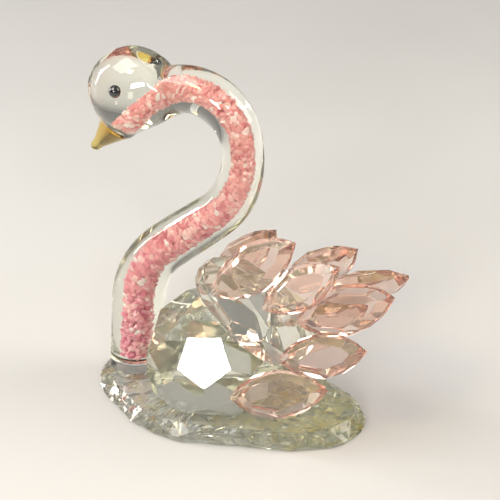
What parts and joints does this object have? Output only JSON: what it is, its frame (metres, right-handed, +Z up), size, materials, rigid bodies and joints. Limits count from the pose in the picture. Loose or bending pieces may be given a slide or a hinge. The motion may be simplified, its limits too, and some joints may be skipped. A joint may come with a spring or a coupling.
{
  "type": "crystal swan figurine",
  "caption": "Clear faceted crystal swan on a cut-glass base, with wings of pale pink marquise stones and an S-shaped glass neck filled with pink chips; a shelf ornament.",
  "frame": {"origin": "on the flat underside of the base, below the middle of the figure", "axes": "+Z up, -X towards the beak, -Y the swan's left side"},
  "size_m": [0.08, 0.044, 0.0891],
  "materials": {
    "clear_crystal": "polished facets",
    "neck_glass": "fire-polished, pink chips inside",
    "pink_crystal": "polished facets",
    "amber_glass": "fire-polished",
    "black_glass": "glossy"
  },
  "bodies": {
    "root": {"base": "clear_crystal", "body": "clear_crystal", "back_crystal": "clear_crystal", "neck": "neck_glass", "beak": "amber_glass", "eye_left": "black_glass", "eye_right": "black_glass", "feather_left_1": "pink_crystal", "feather_left_2": "pink_crystal", "feather_left_3": "pink_crystal", "feather_left_4": "pink_crystal", "feather_left_5": "pink_crystal", "feather_right_1": "pink_crystal", "feather_right_2": "pink_crystal", "feather_right_3": "pink_crystal", "feather_right_4": "pink_crystal", "feather_right_5": "pink_crystal"}
  },
  "joints": []
}
